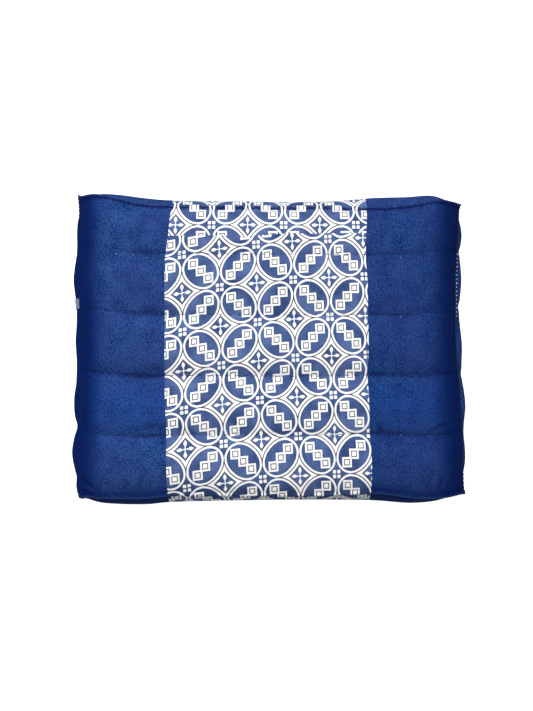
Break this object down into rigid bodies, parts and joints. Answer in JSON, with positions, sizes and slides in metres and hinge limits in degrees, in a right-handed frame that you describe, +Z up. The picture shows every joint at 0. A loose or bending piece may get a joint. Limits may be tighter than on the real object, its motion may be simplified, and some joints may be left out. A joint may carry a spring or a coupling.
{
  "type": "rectangular meditation cushion",
  "caption": "Rectangular boxed floor cushion for sitting meditation, firmly filled and quilted into long channels, with plain blue ends and a printed middle band.",
  "frame": {"origin": "centre of the cushion's footprint, on the surface that it rests on", "axes": "+X along the long side and the quilted channels, +Y towards the far long side, +Z up through the thickness"},
  "size_m": [0.397, 0.312, 0.077],
  "materials": {
    "cover": "plain blue slubbed cotton, matt with a faint sheen",
    "printed_band": "white and blue printed cotton, matt",
    "thread": "cotton sewing thread, matt"
  },
  "bodies": {
    "root": {"cushion": "cover"}
  },
  "joints": []
}
